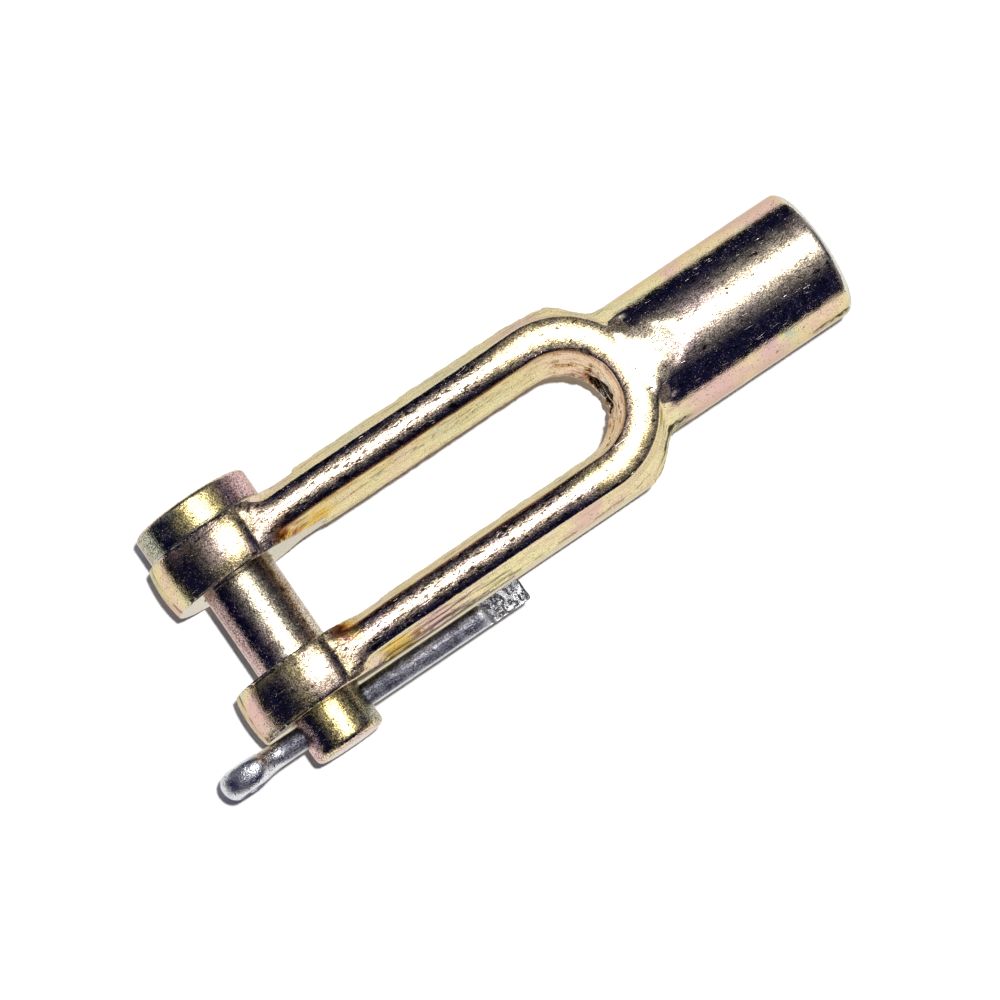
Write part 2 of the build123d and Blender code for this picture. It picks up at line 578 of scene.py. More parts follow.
def buildWear():  # bright where an edge is worn, and a mask of concave hollows that the finishes darken
    group, given, result = newGroup(
        "edgeWear",
        [("Spread", "Float", 0.04)],
        [("Rubbed", "Float"), ("Hollow", "Float")],
    )
    point = newNode(group, "ShaderNodeNewGeometry").outputs["Pointiness"]
    high = plus(group, 0.52, given["Spread"])
    low = minus(group, 0.48, given["Spread"])
    feed(group, result["Rubbed"], addRange(group, point, 0.52, high))
    feed(group, result["Hollow"], addRange(group, point, low, 0.48, 1.0, 0.0))
    return group


grainGroup = buildGrain()
scratchGroup = buildScratches()
platingGroup = buildPlating()
wearGroup = buildWear()
print("shared effects ready")


# forged clevis

forgingValues = {
    "voxel": 0.21 * mm,
    "boreRadius": 2.46,
    "boreStart": 33.6,
    "boreEnd": 56.0,
    "mouth": 54.3,
    "armHeight": 5.2,  # half of it
    "wallTop": 4.65,
    "tearPlace": (32.8, 0.3, 0.0),
    "earFace": 8.49,
    "jawFace": 3.97,
    "forkMiddle": 6.34,
    "bendCentre": 29.1,
    "rounding": {"shoulder": 30, "ear": 1, "overall": 3},
    "rootFlattening": 0.75,
    "yokeBulge": (0.45, 0.2),  # head side and cotter side
    "dieShift": 0.1,
    "earShift": 0.5,
    "yokeFlattening": 0.5,
    "earCrown": 0.26,
    "neckValley": 0.36,
    "rimChamfer": 0.4,
    "lumps": 0.02,
    "shearMarks": 0.06,
    "raggedness": 0.16,
    "tears": 0.3,
    "stains": {  # place and radius
        "rust": (
            (4.6, 4.3, 3.2, 2.6),
            (4.2, -4.6, 4.2, 1.8),
            (9.2, -8.4, 3.2, 0.9),
            (4.4, -8.0, 1.6, 1.2),
        ),
        "amber": ((7.2, -8.4, 2.8, 2.0), (7.4, 4.2, 2.6, 2.2)),
        "rose": (
            (4.0, -8.2, 3.0, 2.2),
            (11.0, -8.4, 3.0, 3.0),
            (26.5, -9.0, 3.0, 3.4),
            (5.5, 8.2, 3.5, 3.0),
            (30.0, 8.6, 3.0, 3.2),
            (40.5, -5.5, 2.0, 4.2),
            (46.0, -5.6, 1.5, 2.4),
            (51.5, 5.4, 2.5, 3.2),
            (-5.2, -6.6, 1.5, 3.0),
            (-5.2, 5.0, -0.5, 2.6),
        ),
    },
    "dents": (  # place, radius, depth
        ((53.9, -5.5, 1.4), 0.5, 0.28),
        ((53.2, -5.65, 1.3), 0.4, 0.25),
        ((52.5, -5.7, 1.2), 0.45, 0.25),
        ((51.7, -5.7, 1.1), 0.4, 0.2),
        ((50.6, -5.7, 1.2), 0.35, 0.15),
        ((37.3, -5.7, 1.5), 0.4, 0.25),
        ((36.5, -5.8, 1.4), 0.4, 0.25),
        ((35.8, -6.3, 1.3), 0.4, 0.25),
        ((35.4, -7.0, 1.3), 0.4, 0.25),
        ((34.9, -7.6, 1.3), 0.35, 0.2),
        ((46.6, -5.4, 2.2), 0.22, 0.1),
    ),
}


def acrossFork(place, values):  # how far outside the fork's middle line, seen from above
    x, y = place[:, 0], place[:, 1]
    around = np.hypot(x - values["bendCentre"], y)
    return np.where(x < values["bendCentre"], np.abs(y), around) - values["forkMiddle"]


def farFrom(place, centre):
    return np.linalg.norm(place - np.array(centre), axis=1)


def milledFaces(place, normal, values):
    x, y, z = place.T
    fromPin = np.hypot(x, z)
    fromBore = np.hypot(y, z)
    jaw = (np.abs(np.abs(y) - values["jawFace"]) < 0.05) & (fromPin < 8.5)
    headSide = (np.abs(y - values["earFace"]) < 0.05) & (fromPin < 8.5)
    cotterSide = (y < -values["earFace"] + 0.05) & (np.abs(normal[:, 1]) > 0.9)
    mouth = (x > 53.6) & (fromBore < 5.3)
    bore = (x > 33.4) & (fromBore < 2.75)
    return (jaw | headSide | cotterSide | (fromPin < 3.5) | mouth | bore).astype(float)


def readForging(piece, values):  # also tells what isn't milled and the place across the fork
    place, normal = readPoints(piece)
    free = 1 - milledFaces(place, normal, values)
    return place, normal, place.T, free, acrossFork(place, values)


def smoothForging(piece, values):
    _, _, (x, y, _), free, _ = readForging(piece, values)
    corner = hump(x, 36.2, 1.6) * rise(np.abs(y), 3.5, 5.5)
    valley = rise(x, 1.8, 2.6) * fall(x, 4.0, 5.5) * free
    for name, weights in (("shoulder", corner), ("ear", valley), ("overall", free)):
        group = weigh(piece, name, weights)
        times = values["rounding"][name]
        applyModifier(piece, "SMOOTH", factor=0.5, iterations=times, vertex_group=group)


def shapeForging(piece, values):
    place, normal, (x, y, z), free, across = readForging(piece, values)
    height = np.abs(z)

    # the upper die sat a little to the head side of the lower one
    slip = rise(z, 0.6, 4.8) * rise(x, 4.0, 9.0) * fall(x, 35.0, 40.0)
    place[:, 1] += values["dieShift"] * slip * free

    earSlip = rise(z, 0.0, 5.0) * fall(x, 1.0, 2.6) * rise(np.hypot(x, z), 4.2, 5.2)
    place[:, 0] += values["earShift"] * earSlip * free

    # the bend's top is flatter than the arms'
    bend = rise(x, 23.0, 30.5) * fall(x, 35.5, 39.0) * fall(across, 1.7, 2.6)
    top, wallTop = values["armHeight"], values["wallTop"]
    gap = np.where(height > wallTop, top - height, (top - wallTop) * rise(height, 3.3, wallTop))
    place[:, 2] += np.sign(z) * np.clip(gap, 0, None) * values["yokeFlattening"] * bend * free

    # each arm starts flat and wide on the slope of its ear
    level = top + 0.28 * fall(x, 2.2, 4.6)
    root = rise(x, 2.15, 2.35) * fall(x, 3.6, 5.2) * fall(np.abs(across), 1.3, 2.0)
    lift = np.clip(level - height, 0, 0.8) * values["rootFlattening"]
    place[:, 2] += np.sign(z) * lift * root * free * (height > 4)

    # the bend's outer edge goes on round under the shank's shoulders
    turn = np.degrees(np.arctan2(x - values["bendCentre"], np.abs(y)))
    valley = hump(across, 2.3, 0.75) * rise(turn, 50, 62) * fall(turn, 70, 84)
    valley *= rise(height, 4.1, 4.7)
    place[:, 2] -= np.sign(z) * values["neckValley"] * valley

    # the cut end of the shank has a broken edge
    fromBore = np.hypot(y, z)
    most = np.maximum(5.96 - np.clip(x - (values["mouth"] - values["rimChamfer"]), 0, None), 4)
    pinch = np.where((x > 50) & (fromBore > most), most / np.maximum(fromBore, 1), 1)
    place[:, 1] *= pinch
    place[:, 2] *= pinch

    # the bend's outside bulges beside the shank, where the flash was sheared
    bulge = np.where(y > 0, *values["yokeBulge"]) * hump(turn, 27, 10)
    bulge *= fall(height, 2.6, 4.8)
    bulge *= rise(across, 1.4, 2.4) * fall(across, 2.8, 3.4)
    bulge *= 0.85 + 0.3 * wobble(place, (0.9, 0.9, 0.6), 3)
    place[:, 0] += bulge * np.sin(np.radians(turn))
    place[:, 1] += bulge * np.cos(np.radians(turn)) * np.sign(y)

    # the ears' rims are barrelled
    fromPin = np.hypot(x, z)
    rim = rise(fromPin, 5.0, 5.6) * fall(x, 2.2, 3.2) * fall(np.abs(x), 6.2, 6.6)
    earMiddle = (values["earFace"] + values["jawFace"]) / 2
    fromMiddle = (np.abs(y) - earMiddle) / (values["earFace"] - earMiddle)
    crown = values["earCrown"] * fromMiddle**2 * rim
    groove = 0.12 * hump(z, 0.15, 0.14) * (x < -4.5)
    groove *= 0.4 + 0.6 * rise(wobble(place, (9, 0.9, 0.9), 2), -0.2, 0.3)
    inward = (crown + groove) / np.maximum(fromPin, 1)
    place[:, 0] -= x * inward
    place[:, 2] -= z * inward
    return place


def roughenForging(piece, values):
    place, normal, (x, y, z), free, across = readForging(piece, values)
    fork = (x > 3.5) & (x < 36.5) & (np.abs(across) < 3.0)
    upright = fall(np.abs(normal[:, 2]), 0.45, 0.65)
    wall = fork * upright * fall(np.abs(z), 4.3, 4.8) * free

    lumps = 0.5 * values["lumps"] * (1 + wobble(place, 1.5, 3)) * free
    marks = values["shearMarks"] * (0.5 + wobble(place, (3.2, 3.2, 0.33), 3)) * wall
    edge = fork * hump(z, 0.0, 0.55) * rise(np.abs(across), 2.0, 2.4) * free
    neck = hump(x, 36.6, 1.3) * hump(z, 0.0, 0.6) * rise(np.abs(y), 4.5, 5.4) * free
    ragged = values["raggedness"] * (edge + 1.6 * neck)
    ragged *= 0.35 + wobble(place, (1.1, 0.8, 0.35), 3)
    fromTear = farFrom(place, values["tearPlace"])
    torn = values["tears"] * fall(fromTear, 2.2, 3.7) * (x < 34)
    torn *= 0.2 + wobble(place, 0.5, 4)
    crotch = (across < -1.4) * rise(x, 29.0, 31.5) * (x < 34) * free
    cracks = 0.14 * crotch * rise(wobble(place, (2.2, 2.2, 0.5), 3), 0.26, 0.42)
    depth = np.clip(lumps, 0, None) + np.clip(marks, 0, None) + np.clip(ragged, 0, None)
    depth += np.clip(torn, 0, None) + cracks
    for centre, radius, deep in values["dents"]:
        reach = farFrom(place, centre)
        depth += deep * fall(reach, 0.3 * radius, radius)
    place -= normal * depth[:, None]
    return place


def keepInside(place):
    low, high = cadBox
    return np.clip(place, np.array(low) / mm + 0.0005, np.array(high) / mm - 0.0005)


def markForging(piece, values):
    place, normal, (x, y, z), free, across = readForging(piece, values)
    height = np.abs(z)
    upright = fall(np.abs(normal[:, 2]), 0.45, 0.7)
    fork = (x > 2.5) & (x < 36.8) & (np.abs(across) < 3.2)
    inner = rise(-across, 0.9, 1.3)
    outer = rise(across, 0.9, 1.3)
    drift = wobble(place, (3.0, 3.0, 0.8), 3)
    fine = wobble(place, (1.2, 1.2, 0.25), 3)
    line = hump(height, 4.6 + 0.1 * drift, 0.22) * rise(x, 3.0, 5.0)
    line *= 0.5 + 0.5 * rise(fine, -0.4, 0.1)
    line += hump(height, 3.95, 0.12) * rise(fine, 0.0, 0.3) * 0.7
    dashes = hump(height, 2.15, 0.11) + 0.8 * hump(height, 1.35, 0.09)
    dashes *= outer * rise(fine, -0.05, 0.2)
    dashes += inner * hump(height, 2.8 + 0.5 * drift, 0.2) * rise(fine, 0.1, 0.3)
    fromTear = farFrom(place, values["tearPlace"])
    neck = hump(x, 36.8, 1.5) * rise(np.abs(y), 4.3, 5.4)
    seam = neck * hump(z, 0.15 + 0.15 * drift, 0.2) * rise(fine, -0.25, 0.05)
    seam += 2.2 * (x > 50) * (y < 0) * hump(z, 1.2 + 0.4 * drift, 0.3) * rise(fine, -0.2, 0.05)
    seam += (x < -4.5) * hump(z, 1.2 + 0.25 * drift, 0.13) * rise(fine, -0.3, 0.0)
    flash = (y < -4.6) * hump(x, 35.6, 1.7) * hump(z, 1.4 + 0.5 * drift, 0.38)
    seam += 2.2 * flash * rise(fine, -0.35, -0.05)
    for centre, radius, _ in values["dents"]:
        reach = np.linalg.norm((place - np.array(centre)) * (0.7, 1, 1), axis=1) + 0.12 * fine
        seam += fall(reach, 0.35 * radius, 0.9 * radius)
    masks = {
        "milled": (1 - free) * ((x < 8.6) & (y > -8.3) | (x > 33)),
        "wall": fork * upright,
        "upward": rise(np.abs(normal[:, 2]), 0.6, 0.82),
        "shank": rise(x, 33.0, 38.0),
        "scuffed": rise(x, 2.0, 4.0) * fall(x, 23.0, 28.0),
        "rim": rise(x, 53.7, 53.9) * rise(np.hypot(y, z), 4.6, 5.0),
        "line": fork * inner * line,
        "dashes": fork * dashes * (x > 6),
        "crotch": inner * rise(x, 28.0, 32.0) * (x < 34.5),
        "torn": fall(fromTear + 0.5 * fine, 2.3, 3.2) * (x < 36),
        "seam": seam,
    }
    for name, spots in values["stains"].items():
        stain = np.zeros(len(x))
        for *centre, radius in spots:
            reach = farFrom(place, centre) + 0.3 * radius * drift
            stain = np.maximum(stain, fall(reach, 0.45 * radius, 1.05 * radius))
        masks[name] = stain
    for name, mask in masks.items():
        writeMask(piece, name, mask)


def buildForging(values):
    piece = copyNode("clevis", "clevisForging")
    length = values["boreEnd"] - values["boreStart"]
    middle = values["boreStart"] + length / 2
    cutAway(piece, addRod((middle, 0, 0), values["boreRadius"], length, alongShank))
    applyModifier(piece, "REMESH", mode="VOXEL", voxel_size=values["voxel"])
    smoothForging(piece, values)
    movePoints(piece, keepInside(shapeForging(piece, values)))
    movePoints(piece, keepInside(roughenForging(piece, values)))
    markForging(piece, values)
    activate(piece)
    bpy.ops.object.shade_smooth()
    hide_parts("clevis")
    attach(piece, "clevis")
    print("forging shaped:", len(piece.data.polygons), "faces")
    return piece


forging = buildForging(forgingValues)

forgingFinish = {
    "fineness": 8200.0,
    "pits": 0.7,
    "bump": 0.012 * mm,
    "roughness": (0.06, 0.11),
    "rose": (0.72, 0.47, 0.44),
    "amber": (0.86, 0.54, 0.08),
    "shank": (0.69, 0.58, 0.43),
    "edge": (0.74, 0.68, 0.56),
    "gold": (0.68, 0.545, 0.28),
    "arms": (0.65, 0.495, 0.37),
    "yellow": (0.93, 0.84, 0.49),
    "salmon": (0.88, 0.64, 0.48),
    "brown": (0.33, 0.12, 0.06),
    "orange": (0.62, 0.27, 0.08),
    "dusk": (0.52, 0.40, 0.40),
    "soot": (0.028, 0.02, 0.018),
    "dark": (0.05, 0.035, 0.03),
    "streak": (0.52, 0.36, 0.2),
    "ochre": (0.80, 0.60, 0.16),
    "rustFilm": ((0.46, "brown"), (0.52, "orange"), (0.59, "ochre"), (0.66, "orange")),
    "torn": (0.40, 0.20, 0.12),
    "rim": (0.74, 0.74, 0.68),
    "scratch": (0.9, 0.85, 0.75),
    "rubbedWearAndEdgeReflection": (0.85, 0.78, 0.62),
    "milled": (0.72, 0.70, 0.66),
}


def finishForging(piece, values):
    material, tree, place, grain, wear = startFinish("yellowPassivatedForging", values)
    scratch = useGroup(tree, scratchGroup, Position=place)["Mask"]
    film = useGroup(tree, platingGroup, Position=place)["Color"]
    patches = addNoise(tree, place, 260.0, 3.0)

    upward = readMask(tree, "upward")
    top = addMix(tree, readMask(tree, "shank"), values["gold"], values["shank"])
    top = addMix(tree, readMask(tree, "scuffed"), top, values["arms"])
    top = addMix(tree, addRange(tree, patches, 0.48, 0.62, 0.0, 0.65), top, values["dusk"])
    wall = readMask(tree, "wall")
    streaks = addNoise(tree, addMapping(tree, place, scale=(0.12, 0.12, 1.0)), 3800.0, 4.0)
    layers = (
        (upward, 0.85, top),
        (wall, 0.6, values["yellow"]),
        (readMask(tree, "crotch"), 0.8, values["salmon"]),
        (wall, addRange(tree, streaks, 0.52, 0.74, 0.0, 0.6), values["streak"]),
    )
    colour = layOver(tree, film, layers)
    quiet = blend(tree, grain["Speckle"], 0.88, 1.06)
    lively = blend(tree, grain["Speckle"], 0.4, 1.3)
    speckle = newNode(tree, "ShaderNodeMix")
    feed(tree, speckle.inputs[0], upward)
    feed(tree, speckle.inputs[2], quiet)
    feed(tree, speckle.inputs[3], lively)
    colour = addMix(tree, 1.0, colour, speckle.outputs[0], "MULTIPLY")
    scuffed = readMask(tree, "scuffed")
    slanted = addMapping(tree, place, scale=(0.35, 1.0, 0.6), turn=(0, 0, 24))
    brushed = addNoise(tree, slanted, 4200.0, 2.0, 0.8)
    sparse = blend(tree, scuffed, 0.07, 0.0)
    streaky = addRange(tree, plus(tree, brushed, sparse), 0.38, 0.47, 0.97, 0.0)
    streaky = multiply(tree, streaky, upward)
    colour = addMix(tree, streaky, colour, values["soot"])
    sideways = blend(tree, upward, 0.8, 0.25)
    mottling = addRange(tree, patches, 0.36, 0.52, 0.3, 1.0)
    for name in ("rose", "amber"):
        mottled = multiply(tree, readMask(tree, name), mottling)
        colour = addMix(tree, multiply(tree, mottled, sideways), colour, values[name])
    stained = multiply(tree, readMask(tree, "rust"), addRange(tree, patches, 0.24, 0.42))
    stains = addNoise(tree, place, 700.0, 4.0, 0.5)
    stains = addColours(tree, stains, [(a, values[name]) for a, name in values["rustFilm"]])
    layers = (
        (stained, 1.0, stains),
        (readMask(tree, "line"), 0.85, values["brown"]),
        (readMask(tree, "dashes"), 0.7, values["dark"]),
        (readMask(tree, "seam"), 1.0, values["soot"]),
        (readMask(tree, "torn"), addRange(tree, streaks, 0.42, 0.55, 0.3, 1.0), values["torn"]),
        (readMask(tree, "rim"), 1.0, values["rim"]),
        (grain["Pit"], 1.0, values["dark"]),
        # browner in concave hollows
        (wear["Hollow"], 0.5, values["brown"]),
        (scratch, 0.7, values["scratch"]),
        (wear["Rubbed"], 0.4, values["rubbedWearAndEdgeReflection"]),
        (readMask(tree, "milled"), 1.0, values["milled"]),
    )
    colour = layOver(tree, colour, layers)

    rough = addRange(tree, patches, 0.42, 0.66, *values["roughness"])
    rough = plus(tree, rough, multiply(tree, wall, 0.12))
    scuff = multiply(tree, brushed, blend(tree, scuffed, 0.05, 1.3))
    smoother = blend(tree, readMask(tree, "shank"), 1.0, 0.8)
    height = plus(tree, multiply(tree, grain["Height"], smoother), scuff)
    height = minus(tree, height, multiply(tree, scratch, 0.8))
    addMetal(tree, piece, material, colour, rough, height, values)


finishForging(forging, forgingFinish)
print("forging finished")


# tapped thread in the shank

threadValues = {
    "start": 33.65,
    "end": 54.1,
    "outside": 2.6,
    "core": 2.05,
    "pitch": 0.794,
    # radius and place along it
    "groove": ((2.0, -0.375), (2.415, -0.05), (2.415, 0.05), (2.0, 0.375)),
    "steps": 36,
    "sides": 72,
    "mouth": (54.3, 2.6),  # where the countersink's cone is this wide
}


def addThreadCutter(values):
    cutter = addPrimitive(bpy.ops.mesh.primitive_plane_add, (0, 0, 0), (0, 0, 0), size=mm)
    start = values["start"] - values["pitch"]
    corners = [cutter.data.vertices[index] for index in cutter.data.polygons[0].vertices]
    for corner, (radius, along) in zip(corners, values["groove"]):
        corner.co = ((start + along) * mm, radius * mm, 0)
    editMesh(cutter, bpy.ops.mesh.delete, type="ONLY_FACE")
    turns = math.ceil((values["end"] - start) / values["pitch"]) + 1
    applyModifier(
        cutter,
        "SCREW",
        axis="X",
        angle=math.tau,
        screw_offset=values["pitch"] * mm,
        iterations=turns,
        steps=values["steps"],
        render_steps=values["steps"],
        use_smooth_shade=False,
    )
    editMesh(cutter, bpy.ops.mesh.fill_holes, sides=0)
    fixNormals(cutter)
    return cutter


def buildThread(values):
    start, end = values["start"], values["end"]
    middle = ((start + end) / 2, 0, 0)
    piece = addRod(middle, values["outside"], end - start, alongShank, values["sides"])
    piece.name = "tappedThread"
    cutAway(piece, addRod(middle, values["core"], end - start + 4, alongShank, values["sides"]))
    cutAway(piece, addThreadCutter(values))
    mouth, wide = values["mouth"]
    cone = addPrimitive(
        bpy.ops.mesh.primitive_cone_add,
        (mouth, 0, 0),
        alongShank,
        vertices=values["sides"],
        radius1=(wide - 1) * mm,
        radius2=(wide + 1) * mm,
        depth=2 * mm,
    )
    cutAway(piece, cone)
    fixNormals(piece)
    smoothAbove(piece, 35)
    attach(piece, "clevis")
    print("thread cut:", len(piece.data.polygons), "faces")
    return piece


thread = buildThread(threadValues)

threadFinish = {
    "fineness": 6000.0,
    "pits": 0.4,
    "bump": 0.012 * mm,
    "roughness": (0.16, 0.3),
    "edge": (0.8, 0.74, 0.62),
    "straw": (0.66, 0.56, 0.36),
    "rose": (0.62, 0.48, 0.46),
    "paintedShadeAndPits": (0.12, 0.10, 0.08),
    "bare": (0.84, 0.82, 0.76),
}


def finishThread(piece, values):
    material, tree, place, grain, wear = startFinish("platedThread", values)
    alongX, alongY, alongZ = newSplit(tree, place)
    fromAxis = addRadius(tree, alongY, alongZ)
    patches = addNoise(tree, place, 420.0, 3.0, 0.4)
    colour = addMix(tree, addRange(tree, patches, 0.42, 0.6), values["straw"], values["rose"])
    # painted shade: darker towards the thread's roots and further into the bore, away from its
    # mouth; pits take the same dark colour
    root = addRange(tree, fromAxis, 2.2 * mm, 2.42 * mm, 0.0, 0.75)
    deep = addRange(tree, alongX, 36 * mm, 50 * mm, 0.5, 0.0)
    layers = (
        (maximum(tree, root, deep), 1.0, values["paintedShadeAndPits"]),
        (addRange(tree, fromAxis, 2.05 * mm, 2.14 * mm, 0.7, 0.0), 1.0, values["bare"]),
        (grain["Pit"], 1.0, values["paintedShadeAndPits"]),
        (wear["Rubbed"], 0.6, values["bare"]),
    )
    colour = layOver(tree, colour, layers)
    rough = addRange(tree, patches, 0.4, 0.64, *values["roughness"])
    addMetal(tree, piece, material, colour, rough, grain["Height"], values)


finishThread(thread, threadFinish)
print("thread finished")


# headed clevis pin

pinValues = {
    "segments": 128,
    "shaftRadius": 3.175,
    "profile": (  # radius and place along the pin, from the tip to the head
        (2.60, -12.238),
        (2.82, -12.20),
        (3.00, -12.10),
        (3.12, -11.95),
        (3.17, -11.75),
        (3.175, -11.50),
        (3.175, 8.54),
        (5.02, 8.54),
        (5.14, 8.58),
        (5.19, 8.68),
        (5.20, 8.82),
        (5.20, 10.84),
        (5.17, 10.98),
        (5.09, 11.10),
        (4.95, 11.19),
        (4.76, 11.235),
        (3.70, 11.235),
        (3.60, 11.20),
        (0.50, 11.17),
    ),
    "holeAlong": -9.61,
    "holeRadius": 1.09,
    "holeSegments": 48,
    "holeBevel": 0.12,
}


def pushEnd(step, size, centre):  # extrudes the selected end face and scales it, in mm
    bpy.ops.mesh.extrude_region_move(TRANSFORM_OT_translate={"value": [a * mm for a in step]})
    bpy.ops.transform.resize(value=size, center_override=[a * mm for a in centre])


def turnProfile(name, profile, segments):
    radius, along = profile[0]
    piece = addDisc((0, along, 0), radius, (90, 0, 0), segments)
    piece.name = name
    openMesh(piece)
    for wide, far in profile[1:]:
        share = wide / radius
        pushEnd((0, far - along, 0), (share, 1, share), (0, far, 0))
        radius, along = wide, far
    closeMesh()
    fixNormals(piece)
    return piece


def bevelHoleRims(piece, values):
    openMesh(piece)
    bpy.ops.mesh.select_mode(type="EDGE")
    bpy.ops.mesh.select_all(action="DESELECT")
    closeMesh()
    x, y, z = readPoints(piece)[0].T
    fromHole = np.hypot(y - values["holeAlong"], z) - values["holeRadius"]
    fromShaft = np.hypot(x, z) - values["shaftRadius"]
    onRim = np.maximum(np.abs(fromHole), np.abs(fromShaft)) < 0.02
    for edge in piece.data.edges:
        edge.select = all(onRim[index] for index in edge.vertices)
    bpy.ops.object.mode_set(mode="EDIT")
    size = values["holeBevel"] * mm
    bpy.ops.mesh.bevel(offset=size, segments=3, affect="EDGES", clamp_overlap=True)
    bpy.ops.mesh.select_mode(type="FACE")
    closeMesh()


def buildPin(values):
    piece = turnProfile("clevisPinTurned", values["profile"], values["segments"])
    hole = (0, values["holeAlong"], 0)
    cutAway(piece, addRod(hole, values["holeRadius"], 10, alongShank, values["holeSegments"]))
    bevelHoleRims(piece, values)
    fixNormals(piece)
    smoothAbove(piece, 32)
    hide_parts("clevis_pin")
    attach(piece, "clevis_pin")
    print("pin shaped:", len(piece.data.polygons), "faces")
    return piece


clevisPin = buildPin(pinValues)

pinFinish = {
    "fineness": 8200.0,
    "pits": 0.5,
    "bump": 0.018 * mm,
    "roughness": (0.06, 0.11),
    "edge": (0.8, 0.72, 0.64),
    "cream": (0.84, 0.76, 0.62),
    "straw": (0.66, 0.58, 0.42),
    "gold": (0.66, 0.53, 0.23),
    "brown": (0.58, 0.40, 0.26),
    "green": (0.46, 0.46, 0.36),
    "rose": (0.68, 0.46, 0.46),
    "soot": (0.028, 0.022, 0.02),
    "dark": (0.06, 0.05, 0.04),
    "bare": (0.88, 0.86, 0.80),
    "shaftFilm": (  # place across the pin and which colour it has there
        (0.0, "rose"),
        (0.14, "rose"),
        (0.42, "straw"),
        (0.62, "straw"),
        (0.76, "brown"),
        (0.86, "cream"),
    ),
    "endFilm": ((0.0, "rose"), (0.16, "rose"), (0.32, "gold"), (0.7, "gold"), (0.86, "green")),
}


def finishPin(piece, values):
    material, tree, place, grain, wear = startFinish("yellowPassivatedPin", values)
    alongX, alongY, alongZ = newSplit(tree, place)
    scratch = useGroup(tree, scratchGroup, Position=place)["Mask"]
    drift = addNoise(tree, place, 330.0, 3.0, 0.5)
    rings = newNode(tree, "ShaderNodeCombineXYZ")
    feed(tree, rings.inputs[0], addRadius(tree, alongX, alongZ))
    feed(tree, rings.inputs[1], alongY)
    turned = addNoise(tree, rings.outputs[0], 5200.0, 3.0)

    # rose to cream across the shaft, rose to green across the tip, the other way on the head
    flip = addRange(tree, alongY, 8.4 * mm, 8.6 * mm, 1.0, -1.0)
    across = multiply(tree, multiply(tree, alongX, 120.0), flip)
    across = plus(tree, plus(tree, across, 0.25), multiply(tree, drift, 0.5))
    shaft = addColours(tree, across, [(a, values[name]) for a, name in values["shaftFilm"]])
    ends = addColours(tree, across, [(a, values[name]) for a, name in values["endFilm"]])
    atEnds = addRange(tree, addMath(tree, "ABSOLUTE", alongY), 8.3 * mm, 8.6 * mm)
    film = addMix(tree, atEnds, shaft, ends)
    onHead = addRange(tree, alongY, 10.9 * mm, 11.15 * mm)
    onTip = addRange(tree, alongY, -12.2 * mm, -12.0 * mm, 1.0, 0.0)
    mottled = useGroup(tree, platingGroup, Position=place)["Color"]
    film = addMix(tree, maximum(tree, onHead, onTip), film, mottled)
    speckle = blend(tree, grain["Speckle"], 0.45, 1.3)
    colour = addMix(tree, 1.0, film, speckle, "MULTIPLY")
    specks = addNoise(tree, place, 4600.0, 2.0)
    layers = (
        (addRange(tree, turned, 0.56, 0.7, 0.0, 0.3), 1.0, values["green"]),
        (addRange(tree, specks, 0.34, 0.4, 0.95, 0.0), 1.0, values["soot"]),
        (grain["Pit"], 1.0, values["dark"]),
        # darker in concave hollows
        (wear["Hollow"], 0.6, values["dark"]),
        (wear["Rubbed"], 0.7, values["bare"]),
        (scratch, 0.8, values["bare"]),
    )
    colour = layOver(tree, colour, layers)
    height = plus(tree, grain["Height"], multiply(tree, turned, 0.25))
    rough = addRange(tree, drift, 0.4, 0.66, *values["roughness"])
    addMetal(tree, piece, material, colour, rough, height, values)


finishPin(clevisPin, pinFinish)
print("pin finished")


# split cotter

cotterValues = {
    "wireRadius": 1.0,
    "flatGap": 0.04,
    "across": -9.61,
    "eyeFarEnd": -10.79,
    "eyeRadius": 1.15,
    "neckRadius": 7.0,
    "shortEnd": 14.8,
    "longEnd": 18.7,
    "vertices": 48,
    # step back and size
    "endRounding": ((0, 0.72), (0.04, 0.84), (0.06, 0.93), (0.1, 0.985), (0.15, 1.0)),
    "legStep": 0.4,
    "hammeredFrom": 14.7,
    "hammeredStep": 0.09,
    "hammerMarks": 0.2,
    "eyeSpread": (1.3, 1.1),  # outer and inner side of the flattened eye
    "eyeLean": 0.9,
    "unevenness": 0.03,
}


def spinEnd(centre, angle, steps):  # turns the end face about a line along Y, in mm and degrees
    middle = [a * mm for a in centre]
    bpy.ops.mesh.spin(steps=steps, angle=math.radians(-angle), center=middle, axis=(0, 1, 0))


def pushAlong(start, end, step):  # extrudes the selected end face in equal steps along X
    count = max(1, round(abs(end - start) / step))
    move = {"value": ((end - start) / count * mm, 0, 0)}
    for _ in range(count):
        bpy.ops.mesh.extrude_region_move(TRANSFORM_OT_translate=move)


